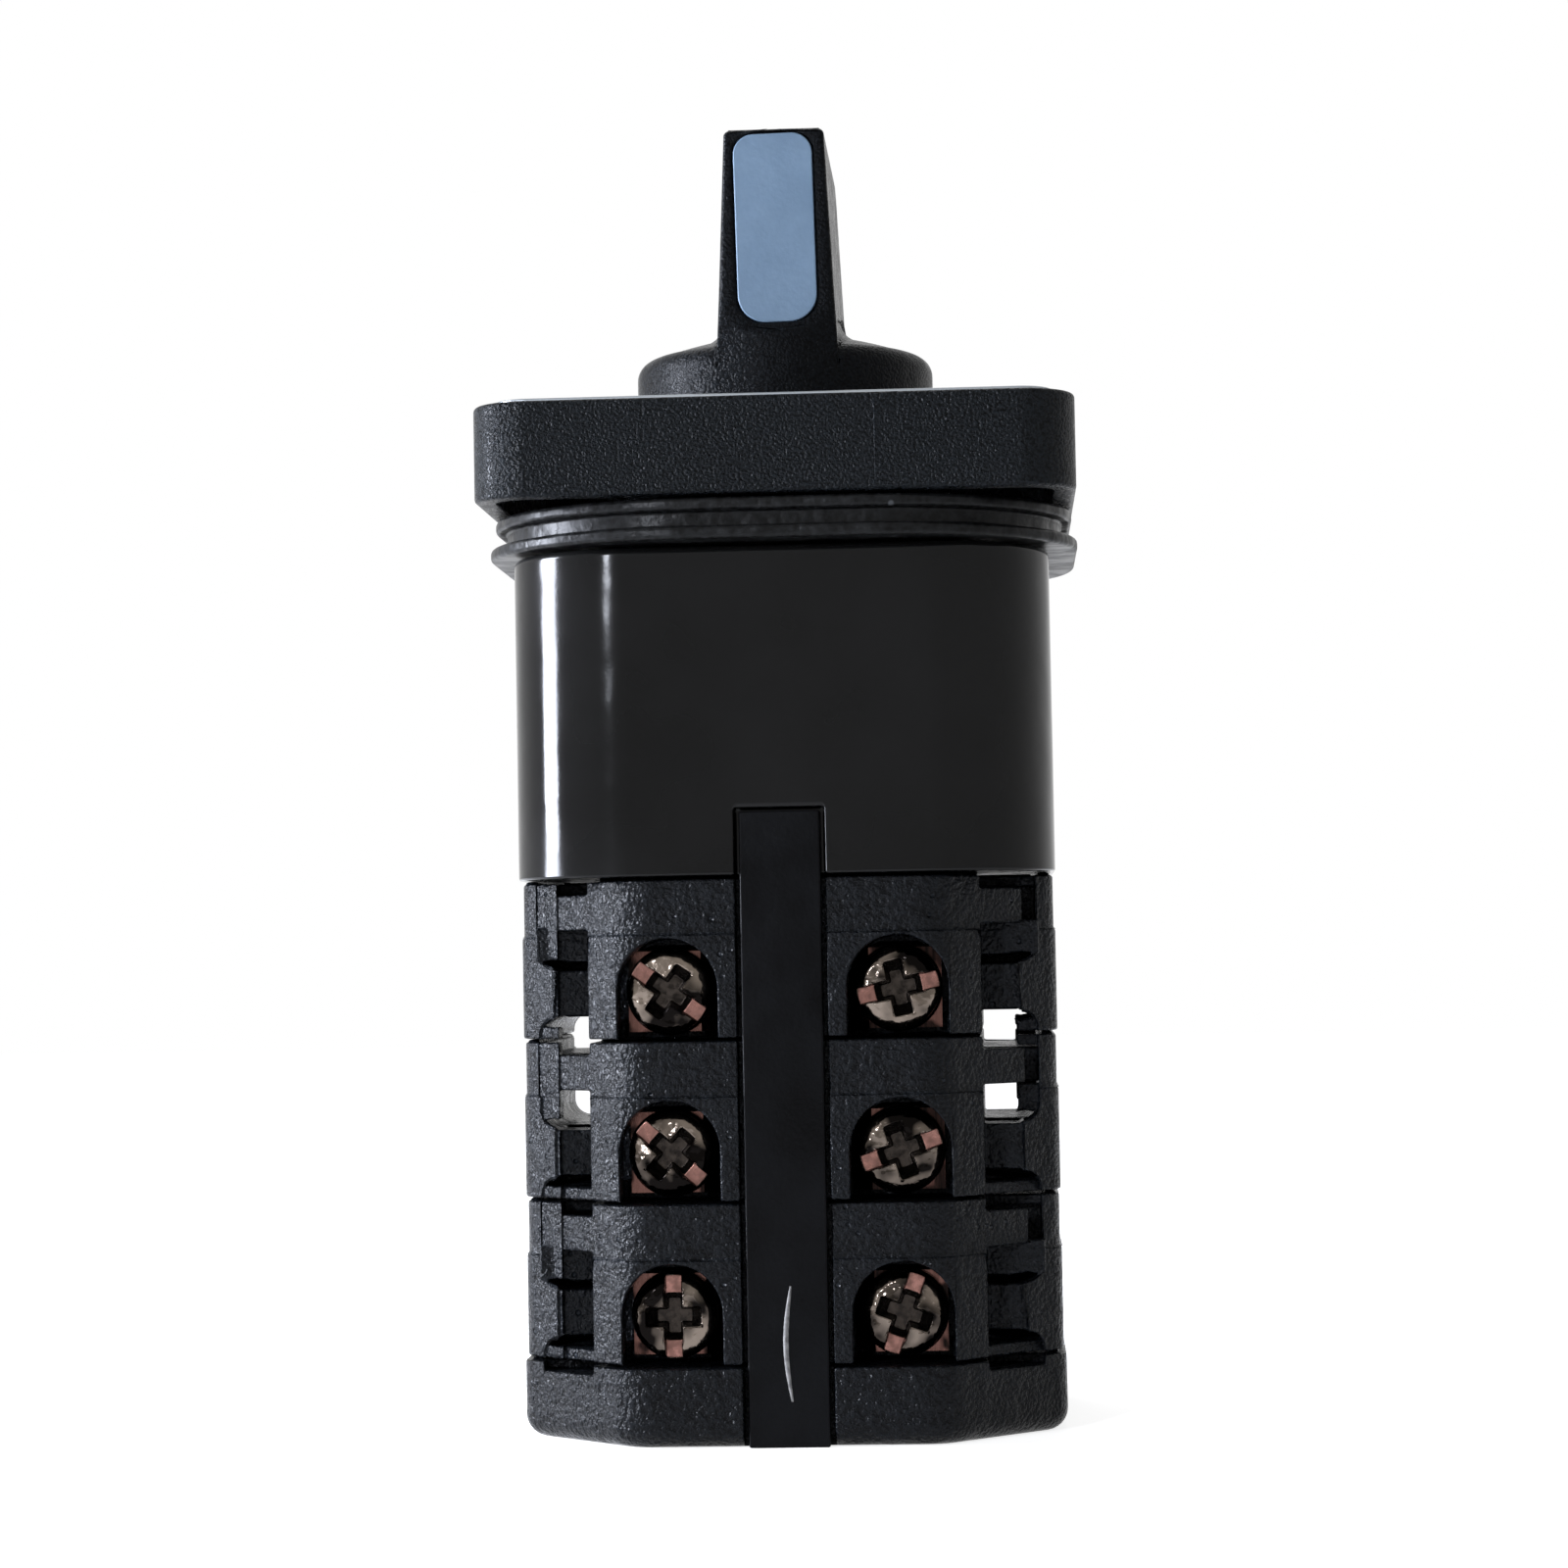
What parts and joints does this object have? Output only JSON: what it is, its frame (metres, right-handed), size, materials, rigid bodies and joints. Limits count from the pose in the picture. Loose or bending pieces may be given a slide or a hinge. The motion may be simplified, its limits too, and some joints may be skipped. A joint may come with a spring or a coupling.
{
  "type": "cam switch",
  "caption": "Rotary cam switch: stacked contact decks with screw terminals behind a sealed square panel front with a bar knob.",
  "frame": {"origin": "centre of the back cover's outer face, on the drive shaft's axis", "axes": "+Z along the drive shaft towards the knob, -Y towards the side with terminals 01 and 02, where the insert points, +X to the right of someone facing that side"},
  "size_m": [0.0486, 0.0486, 0.1064],
  "materials": {
    "cover_polyamide": "fine-grained moulded black polyamide",
    "deck_polyamide": "satin moulded black polyamide",
    "housing_polyamide": "smooth moulded black polyamide",
    "seal_rubber": "moulded black rubber",
    "bezel_polycarbonate": "fine-grained moulded black plastic",
    "legend_aluminium": "satin anodised sheet",
    "bolt_steel": "zinc-plated steel",
    "strap_polyamide": "smooth moulded black polyamide",
    "strip_brass": "rolled brass strip",
    "screw_nickel": "nickel-plated polished screw",
    "shaft_steel": "drawn square steel",
    "wheel_acetal": "moulded natural acetal",
    "cam_acetal": "moulded natural acetal",
    "knob_polycarbonate": "fine-grained moulded black plastic",
    "insert_polycarbonate": "satin moulded blue-grey plastic",
    "knob_screw_steel": "zinc-plated steel",
    "follower_acetal": "moulded red acetal",
    "bridge_copper": "pressed copper alloy bar",
    "slider_acetal": "moulded blue acetal",
    "spring_steel": "drawn spring wire"
  },
  "bodies": {
    "switch_body": {"back_cover": "cover_polyamide", "contact_deck_1": "deck_polyamide", "contact_deck_2": "deck_polyamide", "contact_deck_3": "deck_polyamide", "mechanism_housing": "housing_polyamide", "panel_gasket": "seal_rubber", "front_bezel": "bezel_polycarbonate", "legend_plate": "legend_aluminium", "tie_bolt_front": "bolt_steel", "tie_bolt_back": "bolt_steel", "strap_front": "strap_polyamide", "strap_back": "strap_polyamide", "terminal_strip_01": "strip_brass", "terminal_strip_02": "strip_brass", "terminal_strip_03": "strip_brass", "terminal_strip_04": "strip_brass", "terminal_strip_05": "strip_brass", "terminal_strip_06": "strip_brass", "terminal_strip_07": "strip_brass", "terminal_strip_08": "strip_brass", "terminal_strip_09": "strip_brass", "terminal_strip_10": "strip_brass", "terminal_strip_11": "strip_brass", "terminal_strip_12": "strip_brass", "terminal_screw_01": "screw_nickel", "terminal_screw_02": "screw_nickel", "terminal_screw_03": "screw_nickel", "terminal_screw_04": "screw_nickel", "terminal_screw_05": "screw_nickel", "terminal_screw_06": "screw_nickel", "terminal_screw_07": "screw_nickel", "terminal_screw_08": "screw_nickel", "terminal_screw_09": "screw_nickel", "terminal_screw_10": "screw_nickel", "terminal_screw_11": "screw_nickel", "terminal_screw_12": "screw_nickel", "detent_spring_left": "spring_steel", "detent_spring_right": "spring_steel"},
    "drive": {"drive_shaft": "shaft_steel", "detent_wheel": "wheel_acetal", "cam_1": "cam_acetal", "cam_2": "cam_acetal", "cam_3": "cam_acetal", "knob": "knob_polycarbonate", "pointer_insert": "insert_polycarbonate", "knob_screw": "knob_screw_steel"},
    "follower_1_left": {"cam_follower_1_left": "follower_acetal", "contact_bridge_1_left": "bridge_copper"},
    "follower_1_right": {"cam_follower_1_right": "follower_acetal", "contact_bridge_1_right": "bridge_copper"},
    "follower_2_left": {"cam_follower_2_left": "follower_acetal", "contact_bridge_2_left": "bridge_copper"},
    "follower_2_right": {"cam_follower_2_right": "follower_acetal", "contact_bridge_2_right": "bridge_copper"},
    "follower_3_left": {"cam_follower_3_left": "follower_acetal", "contact_bridge_3_left": "bridge_copper"},
    "follower_3_right": {"cam_follower_3_right": "follower_acetal", "contact_bridge_3_right": "bridge_copper"},
    "detent_left": {"detent_slider_left": "slider_acetal"},
    "detent_right": {"detent_slider_right": "slider_acetal"}
  },
  "joints": [
    {"name": "switch_turn", "type": "hinge", "parent": "switch_body", "child": "drive", "pos_m": [0, 0, 0.0833], "axis": [0, 0, 1], "range_deg": [-60, 60]},
    {"name": "contact_1_left", "type": "slide", "parent": "switch_body", "child": "follower_1_left", "axis": [1, 0, 0], "range_m": [-0.0012, 0.0012]},
    {"name": "contact_1_right", "type": "slide", "parent": "switch_body", "child": "follower_1_right", "axis": [1, 0, 0], "range_m": [-0.0012, 0.0012]},
    {"name": "contact_2_left", "type": "slide", "parent": "switch_body", "child": "follower_2_left", "axis": [1, 0, 0], "range_m": [-0.0012, 0.0012]},
    {"name": "contact_2_right", "type": "slide", "parent": "switch_body", "child": "follower_2_right", "axis": [1, 0, 0], "range_m": [-0.0012, 0.0012]},
    {"name": "contact_3_left", "type": "slide", "parent": "switch_body", "child": "follower_3_left", "axis": [1, 0, 0], "range_m": [-0.0012, 0.0012]},
    {"name": "contact_3_right", "type": "slide", "parent": "switch_body", "child": "follower_3_right", "axis": [1, 0, 0], "range_m": [-0.0012, 0.0012]},
    {"name": "detent_left", "type": "slide", "parent": "switch_body", "child": "detent_left", "axis": [1, 0, 0], "range_m": [0, 0.0012], "stiffness_N_per_m": 200},
    {"name": "detent_right", "type": "slide", "parent": "switch_body", "child": "detent_right", "axis": [-1, 0, 0], "range_m": [0, 0.0012], "stiffness_N_per_m": 200}
  ],
  "couplings": [
    {"joint": "contact_1_left", "follows": "switch_turn", "m_per_rad": -0.0011459},
    {"joint": "contact_1_right", "follows": "switch_turn", "m_per_rad": -0.0011459},
    {"joint": "contact_2_left", "follows": "switch_turn", "m_per_rad": -0.0011459},
    {"joint": "contact_2_right", "follows": "switch_turn", "m_per_rad": -0.0011459},
    {"joint": "contact_3_left", "follows": "switch_turn", "m_per_rad": -0.0011459},
    {"joint": "contact_3_right", "follows": "switch_turn", "m_per_rad": -0.0011459}
  ]
}
